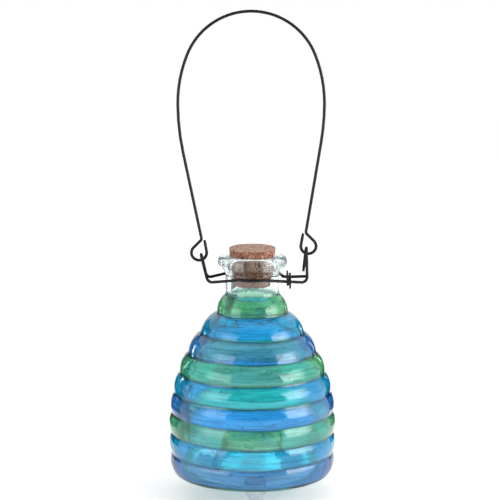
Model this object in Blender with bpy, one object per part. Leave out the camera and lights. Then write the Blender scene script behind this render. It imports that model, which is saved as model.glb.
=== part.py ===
"""Hanging wasp trap: a ribbed glass bottle on three glass feet, with a cork and a wire bail.

Frame: metres, +Z up, the feet stand on z = 0 and the bottle's axis is the Z axis.
The bail swings in the YZ plane and -Y is the front.
"""
import math

import bmesh
import bpy
from mathutils import Matrix, Vector

# ---------------------------------------------------------------- driving dimensions (metres)
GAP = 0.0003              # left between pieces that touch or are fused together

# Glass bottle, from the bottom up
BASE_HEIGHT = 0.0138      # flat underside of the bottle above the ground
BASE_CORNER_HEIGHT = 0.0018
BASE_CORNER_WIDTH = 0.0030
BASE_CORNER_BULGE = 0.0006
RIB_PITCH = 0.01468
RIB_COUNT = 9
RIBS_BELOW_BELLY = 2      # the widest groove sits on top of this many ribs
TOP_RIB_HEIGHT = 0.01376  # the rib under the neck is lower than the others
BELLY_RADIUS = 0.0595     # radius of the widest groove
BASE_TAPER = 0.0016       # how much the body narrows from the belly to the base corner
SHOULDER_STEP = 0.0064    # how far the top groove stands out from the neck
DOME_POWER = 2.40         # 2 gives a parabola, more gives straighter sides and a rounder top
RIB_BULGE = 0.122         # height of a rib's arc over its chord, as a share of the chord
INNER_RIB_BULGE = 0.10    # the same for the inner wall, which follows the ribs
GLASS_WALL = 0.003
INNER_SHOULDER_BULGE = 0.001  # hollow arc of the inner side under the neck

# Neck and lip
NECK_RADIUS = 0.0196
NECK_WALL = 0.003
NECK_HEIGHT = 0.0278      # from the top rib to the mouth
LIP_STEP = 0.0057         # how far the lip's widest point stands out from the neck
LIP_TOP_STEP = 0.0024     # the same for the outer edge of its flat top
LIP_WIDEST_DROP = 0.0045  # below the mouth
LIP_TOP_BULGE = 0.0011    # height of the arc from the flat top to the widest point
LIP_HEIGHT = 0.0127       # from the mouth down to the plain neck
LIP_UNDER_INSET = 0.0013  # the lip's rounded side turns into its hollow underside this far in
LIP_UNDER_DROP = 0.0032   # and this far below the widest point
LIP_UNDER_BULGE = 0.0004
MOUTH_ROUNDING = 0.0008

# Entry funnel, which rises from the base and leaves a bait trough round it
FUNNEL_HEIGHT = 0.0242         # from the underside of the base to the funnel's rim
FUNNEL_FLARE_HEIGHT = 0.020
FUNNEL_FLARE_WIDTH = 0.0095    # from the foot of the flare in to the throat
FUNNEL_FOOT_CLEAR = 0.0003     # flat glass between the funnel's flare and the feet
FUNNEL_FLARE_BULGE = 0.0013    # how far the flare's arc lies inside its chord, like a trumpet's
FUNNEL_WALL = 0.0028
TROUGH_CORNER_BULGE = 0.0008

# Feet
FOOT_INSET = 0.0169       # from the edge of the flat underside in to the middle of a foot
FOOT_TURN = 3.5           # degrees that the front foot stands to the right of the front
FOOT_RADIUS = 0.0085      # where the foot is fused to the base
FOOT_TIP_RADIUS = 0.002
FOOT_STRAIGHT = 0.0034    # the upper part that doesn't taper
FOOT_BULGE = 0.00034      # height of the arc from there to the tip
FOOT_COUNT = 3

# Cork
CORK_TAPER = 0.148        # growth of the radius for each unit of height
CORK_DEPTH = 0.0222       # part of the cork inside the neck
CORK_PROUD = 0.0058       # part of the cork above the mouth
CORK_EDGE = 0.0005        # chamfer round both ends

# Wire of the collar and the bail
WIRE_RADIUS = 0.0011
TIE_RADIUS = 0.0008

# Collar: one wire round the neck, with a narrow eye standing up at each side
COLLAR_DROP = 0.0148      # below the mouth, to the wire round the neck
EYE_HALF_GAP = 0.0038     # half the distance between the two legs of an eye
EYE_SLACK = 0.0041        # from the fold of an eye down to the hook that passes through it
LEFT_EYE_REACH = 0.037    # from the bottle's axis to the fold
LEFT_EYE_HEIGHT = 0.0154  # from the wire round the neck up to the fold
RIGHT_EYE_REACH = 0.039
RIGHT_EYE_HEIGHT = 0.0202
EYE_FOOT_DROP = 0.004     # the front corners sit below the wire round the neck
EYE_FOOT_FORWARD = 0.007  # and in front of the bottle's axis
LEFT_EYE_LEAN = 0.0050    # how far the left eye leans out from its foot to its fold
RIGHT_EYE_LEAN = -0.0006  # the right one leans in
REAR_LEG_LEAN = 0.004     # the same for the left eye's rear leg
LEFT_REAR_DROP = 0.0025   # the left rear corner, below the wire round the neck
FREE_LEG_LEAN = -0.002    # the right eye's rear leg, which ends free
FREE_END_RISE = 0.0022    # its end, above the wire round the neck
REAR_BEND_CLEAR = 0.0015  # the corner where the rear stretch leaves the neck, out from its wire
REAR_BEND_FORWARD = 0.0065
REAR_END_PLAY = 0.001     # from the rear stretch's end to the eye leg in front of it
CORNER_BEND = 0.004       # bend radius of the collar's corners
TIE_CLEAR = 0.0042        # from the wire round the neck out to the binding wire
TIE_TAIL = 0.0018         # how far the binding wire's cut ends stand off

# Bail
CROWN_RADIUS = 0.049
CROWN_TURN = 68.0         # degrees on each side of the top that have the crown's radius
SHOULDER_RADIUS = 0.094   # from there to the bail's widest point
SIDE_RADIUS = 0.170       # from the widest point to the straight arms
BAIL_RISE = 0.1901        # from the wire round the neck up to the crown
BAIL_SHIFT = -0.0009      # the crown hangs a little to the left of the axis
HOOK_RADIUS = 0.0055
HOOK_OVERHANG = 0.0015    # the hook's centre lies this far outside the eye
HOOK_ENTRY = 45.0         # degrees below level at which the wire runs into the hook
HOOK_TIP_LEAN = 10.0      # degrees that the hook's tip leans out from upright
HOOK_TIP_LENGTH = 0.0085
KNEE_BEND = 0.0025        # bend radius between the arm and the hook
KNEE_RUN = 0.0083         # straight length between that bend's corner and the hook

# ---------------------------------------------------------------- fineness of the solids
BOTTLE_SEGMENTS = 40
CORK_SEGMENTS = 40
FOOT_SEGMENTS = 20
RIB_STEPS = 4
INNER_RIB_STEPS = 3
SHARP_ANGLE = math.radians(35.0)
WIRE_BEVEL_RESOLUTION = 2
CHORD_ERROR = 0.0001      # how far a wire's polygon may cut inside its true arc

# ---------------------------------------------------------------- colours: rgba, roughness, metallic
BLUE_GLASS = ((0.02, 0.30, 0.72, 1.0), 0.05, 0.0)
CLEAR_GLASS = ((0.80, 0.86, 0.92, 1.0), 0.05, 0.0)
CORK_BROWN = ((0.50, 0.27, 0.14, 1.0), 0.85, 0.0)
BLACK_WIRE = ((0.02, 0.02, 0.022, 1.0), 0.45, 0.6)

# ---------------------------------------------------------------- heights that follow
LOWEST_GROOVE = BASE_HEIGHT + BASE_CORNER_HEIGHT
WIDEST_GROOVE = LOWEST_GROOVE + RIBS_BELOW_BELLY * RIB_PITCH
TOP_GROOVE = LOWEST_GROOVE + (RIB_COUNT - 1) * RIB_PITCH
NECK_FOOT = TOP_GROOVE + TOP_RIB_HEIGHT
MOUTH = NECK_FOOT + NECK_HEIGHT
BORE_RADIUS = NECK_RADIUS - NECK_WALL
LIP_RADIUS = NECK_RADIUS + LIP_STEP
UNDERSIDE_RADIUS = BELLY_RADIUS - BASE_TAPER - BASE_CORNER_WIDTH
FOOT_CIRCLE = UNDERSIDE_RADIUS - FOOT_INSET
FUNNEL_FOOT_RADIUS = FOOT_CIRCLE - FOOT_RADIUS - FUNNEL_FOOT_CLEAR
THROAT_RADIUS = FUNNEL_FOOT_RADIUS - FUNNEL_FLARE_WIDTH
COLLAR_LEVEL = MOUTH - COLLAR_DROP
COLLAR_RADIUS = NECK_RADIUS + GAP + WIRE_RADIUS
TIE_REACH = COLLAR_RADIUS + TIE_CLEAR
TUBE_SPACING = 2.0 * WIRE_RADIUS + GAP
FOLD_BEND = 0.98 * EYE_HALF_GAP  # two quarter bends with a hair of straight wire between them
QUARTER_BULGE = 1.0 - math.cos(math.pi / 4.0)  # bulge of a quarter circle for each unit of radius


# ---------------------------------------------------------------- scene helpers
def clear_scene():
    """Remove whatever the file holds."""
    for item in list(bpy.data.objects):
        bpy.data.objects.remove(item, do_unlink=True)


def make_material(name, finish):
    """One Principled material from a colour, a roughness and a metallic value."""
    colour, roughness, metallic = finish
    material = bpy.data.materials.new(name)
    material.use_nodes = True
    shader = material.node_tree.nodes["Principled BSDF"]
    shader.inputs["Base Color"].default_value = colour
    shader.inputs["Roughness"].default_value = roughness
    shader.inputs["Metallic"].default_value = metallic
    return material


def add_object(name, data, finish):
    """Link an object with its own material to the scene."""
    item = bpy.data.objects.new(name, data)
    data.materials.append(make_material(name, finish))
    bpy.context.scene.collection.objects.link(item)
    return item


# ---------------------------------------------------------------- outlines and turned solids
def arc(start, end, bulge, steps):
    """Points of a circular arc from start to end, start left out.

    A positive bulge lies to the left of the way from start to end.
    """
    start = Vector(start)
    end = Vector(end)
    chord = end - start
    if bulge == 0.0:
        return [end]
    radius = (chord.length ** 2 / 4.0 + bulge ** 2) / (2.0 * abs(bulge))
    left = Vector((-chord.y, chord.x)).normalized() * math.copysign(1.0, bulge)
    centre = (start + end) / 2.0 + left * (abs(bulge) - radius)
    half_turn = math.asin(chord.length / 2.0 / radius)
    turn = -2.0 * half_turn * math.copysign(1.0, bulge)
    spoke = start - centre
    return [centre + Matrix.Rotation(turn * step / steps, 2) @ spoke for step in range(1, steps + 1)]


def turned_solid(name, outline, segments, finish):
    """Turn an outline of (radius, height) points round the Z axis into one closed body.

    An outline that starts and ends on the axis gives a full body; any other outline is
    closed on itself and gives a body with a way through.
    """
    body = bmesh.new()
    rings = []
    for radius, height in outline:
        if radius == 0.0:
            rings.append([body.verts.new((0.0, 0.0, height))])
            continue
        ring = []
        for segment in range(segments):
            angle = math.tau * segment / segments
            ring.append(body.verts.new((radius * math.cos(angle), radius * math.sin(angle), height)))
        rings.append(ring)
    pairs = list(zip(rings, rings[1:]))
    if len(rings[0]) > 1:
        pairs.append((rings[-1], rings[0]))
    for upper, lower in pairs:
        for segment in range(segments):
            following = (segment + 1) % segments
            corners = [
                upper[segment % len(upper)],
                lower[segment % len(lower)],
                lower[following % len(lower)],
                upper[following % len(upper)],
            ]
            body.faces.new(dict.fromkeys(corners))
    bmesh.ops.recalc_face_normals(body, faces=body.faces)
    mesh = bpy.data.meshes.new(name)
    body.to_mesh(mesh)
    body.free()
    mesh.shade_smooth()
    mesh.set_sharp_from_angle(angle=SHARP_ANGLE)
    return add_object(name, mesh, finish)


# ---------------------------------------------------------------- bent wire
def arc_steps(radius, turn):
    """Number of straight pieces that keep an arc within the chord error."""
    return max(2, math.ceil(abs(turn) / (2.0 * math.acos(1.0 - CHORD_ERROR / radius))))


def bend_corners(corners):
    """Round the corners of a wire's route. Each corner is (point, bend radius)."""
    points = [Vector(corners[0][0])]
    for before, here, after in zip(corners, corners[1:], corners[2:]):
        corner, radius = Vector(here[0]), here[1]
        back = (Vector(before[0]) - corner).normalized()
        ahead = (Vector(after[0]) - corner).normalized()
        turn = math.pi - back.angle(ahead)
        if radius == 0.0:
            points.append(corner)
            continue
        reach = radius * math.tan(turn / 2.0)
        centre = corner + (back + ahead).normalized() * math.hypot(radius, reach)
        spoke = corner + back * reach - centre
        axis = back.cross(ahead)
        steps = arc_steps(radius, turn)
        for step in range(steps + 1):
            points.append(centre + Matrix.Rotation(-turn * step / steps, 3, axis) @ spoke)
    points.append(Vector(corners[-1][0]))
    return points


def round_wire(name, points, radius, finish):
    """A round wire with flat cut ends along a route of points."""
    curve = bpy.data.curves.new(name, "CURVE")
    curve.dimensions = "3D"
    curve.bevel_depth = radius
    curve.bevel_resolution = WIRE_BEVEL_RESOLUTION
    curve.use_fill_caps = True
    spline = curve.splines.new("POLY")
    spline.points.add(len(points) - 1)
    for spline_point, point in zip(spline.points, points):
        spline_point.co = (*point, 1.0)
        spline_point.radius = 1.0
    spline.use_smooth = True
    return add_object(name, curve, finish)


# ---------------------------------------------------------------- glass bottle
def groove_radius(height):
    """Radius of the body at a groove: a dome above the belly, a slight taper below it."""
    if height < WIDEST_GROOVE:
        share = (WIDEST_GROOVE - height) / (WIDEST_GROOVE - LOWEST_GROOVE)
        return BELLY_RADIUS - BASE_TAPER * share ** 2
    share = (height - WIDEST_GROOVE) / (TOP_GROOVE - WIDEST_GROOVE)
    return BELLY_RADIUS - (BELLY_RADIUS - NECK_RADIUS - SHOULDER_STEP) * share ** DOME_POWER


def groove_heights():
    """Heights of the grooves between the ribs, from the top one down."""
    return [TOP_GROOVE - index * RIB_PITCH for index in range(RIB_COUNT)]


def lip_outline():
    """Outer side of the neck, from the mouth's inner edge down to the top rib."""
    mouth_edge = (BORE_RADIUS, MOUTH - MOUTH_ROUNDING)
    top_inner = (BORE_RADIUS + MOUTH_ROUNDING, MOUTH)
    top_outer = (NECK_RADIUS + LIP_TOP_STEP, MOUTH)
    widest = (LIP_RADIUS, MOUTH - LIP_WIDEST_DROP)
    under = (LIP_RADIUS - LIP_UNDER_INSET, MOUTH - LIP_WIDEST_DROP - LIP_UNDER_DROP)
    neck_top = (NECK_RADIUS, MOUTH - LIP_HEIGHT)
    outline = [mouth_edge]
    outline += arc(mouth_edge, top_inner, MOUTH_ROUNDING * QUARTER_BULGE, 2)
    outline += [top_outer]
    outline += arc(top_outer, widest, LIP_TOP_BULGE, 3)
    outline += arc(widest, under, LIP_UNDER_BULGE, 2)
    outline += arc(under, neck_top, -LIP_UNDER_BULGE, 2)
    outline += [(NECK_RADIUS, NECK_FOOT)]
    return outline


def rib_outline():
    """Outer side of the ribs: an arc from each groove to the one below it."""
    outline = []
    upper = (NECK_RADIUS, NECK_FOOT)
    for height in groove_heights():
        lower = (groove_radius(height), height)
        chord = math.dist(upper, lower)
        outline += arc(upper, lower, chord * RIB_BULGE, RIB_STEPS)
        upper = lower
    return outline


def wall_foot():
    """Lowest point of the inner wall, where it meets the trough."""
    return (groove_radius(LOWEST_GROOVE) - GLASS_WALL, LOWEST_GROOVE + GLASS_WALL)


def funnel_outline():
    """Base corner, flat underside, entry funnel and trough, round to the foot of the inner wall."""
    lowest = (groove_radius(LOWEST_GROOVE), LOWEST_GROOVE)
    underside = (UNDERSIDE_RADIUS, BASE_HEIGHT)
    flare_foot = (FUNNEL_FOOT_RADIUS, BASE_HEIGHT)
    flare_top = (THROAT_RADIUS, BASE_HEIGHT + FUNNEL_FLARE_HEIGHT)
    rim = BASE_HEIGHT + FUNNEL_HEIGHT
    rim_inner = (THROAT_RADIUS, rim - FUNNEL_WALL / 2.0)
    rim_outer = (THROAT_RADIUS + FUNNEL_WALL, rim - FUNNEL_WALL / 2.0)
    trough_flare = (flare_top[0] + FUNNEL_WALL, flare_top[1] + FUNNEL_WALL / 2.0)
    floor_inner = (flare_foot[0] + FUNNEL_WALL, BASE_HEIGHT + GLASS_WALL)
    floor_outer = (underside[0], BASE_HEIGHT + GLASS_WALL)
    outline = arc(lowest, underside, BASE_CORNER_BULGE, 3)
    outline += [flare_foot]
    outline += arc(flare_foot, flare_top, FUNNEL_FLARE_BULGE, 5)
    outline += [rim_inner]
    outline += arc(rim_inner, rim_outer, FUNNEL_WALL / 2.0, 3)
    outline += [trough_flare]
    outline += arc(trough_flare, floor_inner, -FUNNEL_FLARE_BULGE, 5)
    outline += [floor_outer]
    outline += arc(floor_outer, wall_foot(), -TROUGH_CORNER_BULGE, 2)
    return outline


def inner_wall_outline():
    """Inner side of the body, from the trough up to the bore of the neck."""
    outline = []
    heights = groove_heights()[::-1]
    lower = wall_foot()
    for height in heights[1:]:
        radius = groove_radius(height)
        slope = (groove_radius(height + GAP) - radius) / GAP
        inward = Vector((-1.0, slope)).normalized() * GLASS_WALL
        upper = (radius + inward.x, height + inward.y)
        outline += arc(lower, upper, -math.dist(lower, upper) * INNER_RIB_BULGE, INNER_RIB_STEPS)
        lower = upper
    neck_inside = (BORE_RADIUS, NECK_FOOT - NECK_WALL)
    outline += arc(lower, neck_inside, -INNER_SHOULDER_BULGE, 2)
    return outline


def build_bottle():
    """The blown bottle with its lip, ribs and entry funnel, all one piece of glass."""
    outline = lip_outline() + rib_outline() + funnel_outline() + inner_wall_outline()
    return turned_solid("bottle", outline, BOTTLE_SEGMENTS, BLUE_GLASS)


def build_feet():
    """Three rounded glass pegs, fused to the underside of the base."""
    names = ["foot_front", "foot_rear_right", "foot_rear_left"]
    top = BASE_HEIGHT - GAP
    shoulder = (FOOT_RADIUS, top - FOOT_STRAIGHT)
    tip = (FOOT_TIP_RADIUS, 0.0)
    outline = [(0.0, top), (FOOT_RADIUS, top), shoulder]
    outline += arc(shoulder, tip, FOOT_BULGE, 4)
    outline += [(0.0, 0.0)]
    for index in range(FOOT_COUNT):
        angle = math.radians(-90.0 + FOOT_TURN + 360.0 * index / FOOT_COUNT)
        foot = turned_solid(names[index], outline, FOOT_SEGMENTS, CLEAR_GLASS)
        foot.location = (FOOT_CIRCLE * math.cos(angle), FOOT_CIRCLE * math.sin(angle), 0.0)


def build_cork():
    """The tapered cork, which touches the bore at the mouth only."""
    def cork_radius(height):
        return BORE_RADIUS - GAP + CORK_TAPER * (height - MOUTH)

    top = MOUTH + CORK_PROUD
    bottom = MOUTH - CORK_DEPTH
    outline = [
        (0.0, top),
        (cork_radius(top) - CORK_EDGE, top),
        (cork_radius(top), top - CORK_EDGE),
        (cork_radius(bottom), bottom + CORK_EDGE),
        (cork_radius(bottom) - CORK_EDGE, bottom),
        (0.0, bottom),
    ]
    return turned_solid("cork_stopper", outline, CORK_SEGMENTS, CORK_BROWN)


# ---------------------------------------------------------------- wire collar
def around_neck(angle, height=COLLAR_LEVEL):
    """Point of the wire round the neck, at an angle in degrees from +X."""
    turn = math.radians(angle)
    return Vector((COLLAR_RADIUS * math.cos(turn), COLLAR_RADIUS * math.sin(turn), height))


def touching_angle(point, side):
    """Angle at which a straight wire from a point meets the neck, side +1 to the left of it."""
    away = math.degrees(math.atan2(point.y, point.x))
    spread = math.degrees(math.acos(COLLAR_RADIUS / math.hypot(point.x, point.y)))
    return away + side * spread


def eye_fold(side):
    """Middle of the fold at the top of an eye: side -1 is the left one, +1 the right one."""
    if side < 0:
        return Vector((-LEFT_EYE_REACH, 0.0, COLLAR_LEVEL + LEFT_EYE_HEIGHT))
    return Vector((RIGHT_EYE_REACH, 0.0, COLLAR_LEVEL + RIGHT_EYE_HEIGHT))


def front_corner(side):
    """Corner where the front stretch turns up into an eye."""
    fold = eye_fold(side)
    lean = LEFT_EYE_LEAN if side < 0 else RIGHT_EYE_LEAN
    return Vector((fold.x - side * lean, -EYE_FOOT_FORWARD, COLLAR_LEVEL - EYE_FOOT_DROP))


def eye_corner(side, depth):
    """Upper corner of an eye's front leg (depth -1) or rear leg (depth +1)."""
    return eye_fold(side) + Vector((0.0, depth * EYE_HALF_GAP, 0.0))


def neck_arc(start, end):
    """Route corners round the neck, every few degrees from one angle to the other."""
    steps = arc_steps(COLLAR_RADIUS, math.radians(end - start))
    return [(around_neck(start + (end - start) * step / steps), 0.0) for step in range(steps + 1)]


def rear_end():
    """Bend and end of the rear stretch, which leaves the neck and ends behind the right eye."""
    bend = Vector((COLLAR_RADIUS + REAR_BEND_CLEAR, -REAR_BEND_FORWARD, COLLAR_LEVEL))
    behind_leg = TUBE_SPACING + REAR_END_PLAY - EYE_FOOT_FORWARD
    end = Vector((RIGHT_EYE_REACH + WIRE_RADIUS, behind_leg, COLLAR_LEVEL))
    return bend, end


def build_collar():
    """One wire: right eye, front stretch, left eye, round the back of the neck, to the right eye."""
    right_front = front_corner(1)
    left_front = front_corner(-1)
    left_rear = Vector((REAR_LEG_LEAN - LEFT_EYE_REACH, EYE_HALF_GAP, COLLAR_LEVEL - LEFT_REAR_DROP))
    free_end = Vector((RIGHT_EYE_REACH + FREE_LEG_LEAN, EYE_HALF_GAP, COLLAR_LEVEL + FREE_END_RISE))
    last_bend, last_end = rear_end()
    route = [(free_end, 0.0)]
    route += [(eye_corner(1, 1), FOLD_BEND), (eye_corner(1, -1), FOLD_BEND)]
    route += [(right_front, CORNER_BEND)]
    route += neck_arc(touching_angle(right_front, -1), touching_angle(left_front, 1))
    route += [(left_front, CORNER_BEND)]
    route += [(eye_corner(-1, -1), FOLD_BEND), (eye_corner(-1, 1), FOLD_BEND)]
    route += [(left_rear, CORNER_BEND)]
    route += neck_arc(touching_angle(left_rear, -1), touching_angle(last_bend, 1))
    route += [(last_bend, CORNER_BEND), (last_end, 0.0)]
    return round_wire("collar_wire", bend_corners(route), WIRE_RADIUS, BLACK_WIRE)


def point_at_reach(start, end, reach):
    """Point of the straight run from start to end at a distance of reach to the right."""
    return start.lerp(end, (reach - start.x) / (end.x - start.x))


def build_tie():
    """Thin wire wound one turn and a half round the two stretches, with both ends standing off."""
    right_front = front_corner(1)
    touching = around_neck(touching_angle(right_front, -1))
    front = point_at_reach(touching, right_front, TIE_REACH)
    rear = point_at_reach(*rear_end(), TIE_REACH)
    across = Vector((0.0, rear.y - front.y, rear.z - front.z))
    along = across.normalized()
    upward = Vector((0.0, -along.z, along.y))
    clear = WIRE_RADIUS + TIE_RADIUS + GAP + 2.0 * CHORD_ERROR
    near_side = -clear
    far_side = across.length + clear
    pitch = 2.0 * TIE_RADIUS + GAP

    def place(shift, forth, lift):
        """Point near the two stretches: sideways, from the front one to the rear one, and up."""
        return Vector((TIE_REACH + shift, front.y, front.z)) + along * forth + upward * lift

    route = [
        (place(0.0, far_side + TIE_TAIL, clear), 0.0),
        (place(0.0, near_side, clear), clear),
        (place(0.0, near_side, -clear), clear),
        (place(pitch, far_side, -clear), clear),
        (place(pitch, far_side, clear), clear),
        (place(pitch, near_side, clear), clear),
        (place(pitch, near_side, -clear - TIE_TAIL), 0.0),
    ]
    return round_wire("collar_tie", bend_corners(route), TIE_RADIUS, BLACK_WIRE)


# ---------------------------------------------------------------- bail
def swept_arc(centre, radius, start, end):
    """Route corners on an arc in the bail's plane, angles in radians from outward, start left out."""
    steps = arc_steps(radius, end - start)
    corners = []
    for step in range(1, steps + 1):
        angle = start + (end - start) * step / steps
        corners.append((centre[0] + radius * math.cos(angle), centre[1] + radius * math.sin(angle)))
    return corners


def bail_side(side):
    """Route of one half of the bail from the crown to the hook's tip: (outward, height, bend)."""
    top = COLLAR_LEVEL + BAIL_RISE
    crown_end = math.radians(90.0 - CROWN_TURN)
    crown = (0.0, top - CROWN_RADIUS)
    shift = CROWN_RADIUS - SHOULDER_RADIUS
    shoulder = (crown[0] + shift * math.cos(crown_end), crown[1] + shift * math.sin(crown_end))
    flank = (shoulder[0] + SHOULDER_RADIUS - SIDE_RADIUS, shoulder[1])

    fold = eye_fold(side)
    crossing = (side * (fold.x - BAIL_SHIFT), fold.z - EYE_SLACK)
    hook_rise = math.sqrt(HOOK_RADIUS ** 2 - HOOK_OVERHANG ** 2)
    hook = (crossing[0] + HOOK_OVERHANG, crossing[1] + hook_rise)
    entry = math.radians(HOOK_ENTRY)
    tip = math.radians(-180.0 - HOOK_TIP_LEAN)
    hook_start = (hook[0] + HOOK_RADIUS * math.cos(entry), hook[1] + HOOK_RADIUS * math.sin(entry))
    knee = (hook_start[0] - KNEE_RUN * math.sin(entry), hook_start[1] + KNEE_RUN * math.cos(entry))

    distance = math.dist(knee, flank)
    toward_knee = math.atan2(knee[1] - flank[1], knee[0] - flank[0])
    lean = toward_knee + math.acos(SIDE_RADIUS / distance)

    corners = swept_arc(crown, CROWN_RADIUS, math.pi / 2.0, crown_end)
    corners += swept_arc(shoulder, SHOULDER_RADIUS, crown_end, 0.0)
    corners += swept_arc(flank, SIDE_RADIUS, 0.0, lean)
    corners += [(*knee, KNEE_BEND), hook_start]
    corners += swept_arc(hook, HOOK_RADIUS, entry, tip)
    end = corners[-1]
    corners += [(end[0] + HOOK_TIP_LENGTH * math.sin(tip), end[1] - HOOK_TIP_LENGTH * math.cos(tip))]
    route = []
    for outward, height, *bend in corners:
        route.append((Vector((BAIL_SHIFT + side * outward, 0.0, height)), bend[0] if bend else 0.0))
    return route


def build_bail():
    """One wire from the left hook over the crown to the right hook."""
    crown_top = (Vector((BAIL_SHIFT, 0.0, COLLAR_LEVEL + BAIL_RISE)), 0.0)
    route = bail_side(-1)[::-1] + [crown_top] + bail_side(1)
    return round_wire("bail_handle", bend_corners(route), WIRE_RADIUS, BLACK_WIRE)


clear_scene()
build_bottle()
build_feet()
build_cork()
build_collar()
build_tie()
build_bail()
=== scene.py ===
# %% [markdown]
# A hanging wasp trap: a beehive-shaped bottle of lacquered glass on three glass feet, a cork in its mouth,
# a wire collar round its neck and a wire bail to hang it by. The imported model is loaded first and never
# changed. Every visible piece below is built in the same place, in metres, and rides on one of its bodies.

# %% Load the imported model
import math

import bpy
from mathutils import Matrix, Vector


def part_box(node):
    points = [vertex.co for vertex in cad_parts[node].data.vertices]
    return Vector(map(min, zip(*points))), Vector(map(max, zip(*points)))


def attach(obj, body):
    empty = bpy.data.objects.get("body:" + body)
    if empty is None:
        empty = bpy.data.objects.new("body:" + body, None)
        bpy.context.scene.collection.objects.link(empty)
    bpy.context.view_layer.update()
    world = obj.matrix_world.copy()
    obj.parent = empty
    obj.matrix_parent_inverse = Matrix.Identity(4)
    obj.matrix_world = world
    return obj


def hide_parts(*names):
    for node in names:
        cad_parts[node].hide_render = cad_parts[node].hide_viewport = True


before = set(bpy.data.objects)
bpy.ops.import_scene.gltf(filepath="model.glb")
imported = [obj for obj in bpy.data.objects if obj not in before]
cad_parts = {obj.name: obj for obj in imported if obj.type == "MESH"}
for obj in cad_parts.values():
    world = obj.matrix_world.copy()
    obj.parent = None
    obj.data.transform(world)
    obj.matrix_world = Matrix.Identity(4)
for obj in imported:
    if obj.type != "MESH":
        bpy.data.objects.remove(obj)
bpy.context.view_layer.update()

# %% [markdown]
# The camera comes early, so that every later choice can be judged in the final view. It stands well back
# with a long lens, as in a catalogue, and looks down by ten degrees, so the rims of the ribs show as
# shallow ellipses.

# %% Camera
CAMERA_PLACE = (-0.0017, -1.3861, 0.4278)
CAMERA_TILT = math.radians(79.8)
CAMERA_LENS = 140.4       # millimetres
SENSOR_WIDTH = 36.0       # millimetres

camera_data = bpy.data.cameras.new("studio_camera")
camera_data.lens = CAMERA_LENS
camera_data.sensor_width = SENSOR_WIDTH
camera_data.clip_start = 0.05
camera_data.clip_end = 100.0
camera = bpy.data.objects.new("studio_camera", camera_data)
camera.location = CAMERA_PLACE
camera.rotation_euler = (CAMERA_TILT, 0.0, 0.0)
bpy.context.scene.collection.objects.link(camera)
bpy.context.scene.camera = camera
print("camera", round(math.degrees(camera_data.angle), 2), "degrees wide")

# %% [markdown]
# Glass shows its surroundings more than itself, so the light is built from what should be mirrored in it.
# Two tall softboxes stand left and right of the camera, and the gap between them leaves a deep stripe down
# the middle of every rib. Two narrow strips close behind it put the sparks on its edges. All four are
# hidden from the camera itself. Their cloth darkens towards the rim, so that no highlight ends in a hard
# line.

# %% Softboxes
TARGET_HEIGHT = 0.09      # the lights are aimed at the middle of the bottle
SOFTBOX_DISTANCE = 1.25
STRIP_DISTANCE = 0.2
CLOTH_FADE = 0.35         # share of a light's height over which it darkens at its top and its foot
STRIP_FADE = (0.3, 0.3)   # the same for the width of a strip


def feed_node(tree, node, feeds):
    """Feed inputs with plain values, with other nodes' sockets, or with nodes (their first output)."""
    for key, value in feeds.items():
        if isinstance(value, bpy.types.Node):
            value = value.outputs[0]
        if isinstance(value, bpy.types.NodeSocket):
            tree.links.new(value, node.inputs[key])
        else:
            node.inputs[key].default_value = value


def add_node(tree, kind, feeds=None, **settings):
    """A node with some of its properties set and some of its inputs fed."""
    node = tree.nodes.new(kind)
    for key, value in settings.items():
        setattr(node, key, value)
    feed_node(tree, node, feeds or {})
    return node


def cloth_ramp(tree, place, fade):
    """Brightness across a cloth: dark at both ends, full in between."""
    node = add_node(tree, "ShaderNodeValToRGB", {0: place})
    ramp = node.color_ramp
    ramp.interpolation = "EASE"
    for element, position in zip(ramp.elements, (0.0, 1.0)):
        element.position = position
        element.color = (0.0, 0.0, 0.0, 1.0)
    for position in (fade[0], 1.0 - fade[1]):
        ramp.elements.new(position).color = (1.0, 1.0, 1.0, 1.0)
    return node


def softbox(name, azimuth, height, size, power, fade, distance=SOFTBOX_DISTANCE):
    """A softbox on a circle round the object: azimuth 0 is at the camera, positive to the right.

    size is its width and its height. fade is the share of the width over which the cloth darkens
    towards the rim, on each side.
    """
    data = bpy.data.lights.new(name, "AREA")
    data.shape = "RECTANGLE"
    data.size, data.size_y = size
    data.energy = power
    light = bpy.data.objects.new(name, data)
    turn = math.radians(azimuth)
    place = Vector((distance * math.sin(turn), -distance * math.cos(turn), height))
    light.location = place
    aim = Vector((0.0, 0.0, TARGET_HEIGHT)) - place
    light.rotation_euler = aim.to_track_quat("-Z", "Y").to_euler()
    light.visible_camera = False
    bpy.context.scene.collection.objects.link(light)

    data.use_nodes = True
    tree = data.node_tree
    cloth = add_node(tree, "ShaderNodeNewGeometry")
    split = add_node(tree, "ShaderNodeSeparateXYZ", {0: cloth.outputs["Parametric"]})
    across = cloth_ramp(tree, split.outputs["X"], fade)
    upward = cloth_ramp(tree, split.outputs["Y"], (CLOTH_FADE, CLOTH_FADE))
    product = add_node(tree, "ShaderNodeMath", {0: across, 1: upward}, operation="MULTIPLY")
    feed_node(tree, tree.nodes["Emission"], {"Strength": product})


softbox("softbox_right", 72.0, 0.42, (1.25, 1.25), 34.0, (0.05, 0.5))
softbox("softbox_left", -58.0, 0.42, (1.15, 1.25), 14.0, (0.5, 0.05))
softbox("edge_strip_left", -122.0, 0.12, (0.007, 0.08), 0.03, STRIP_FADE, STRIP_DISTANCE)
softbox("edge_strip_right", 134.0, 0.12, (0.005, 0.08), 0.014, STRIP_FADE, STRIP_DISTANCE)

# %% [markdown]
# The world is a white cove behind the object and a dark room behind the camera, so that no haze lies over
# the colours. A dot product with one direction makes the change from one to the other. The camera itself
# sees plain white. Light has to pass many glass walls here, so the number of bounces goes up.

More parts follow.
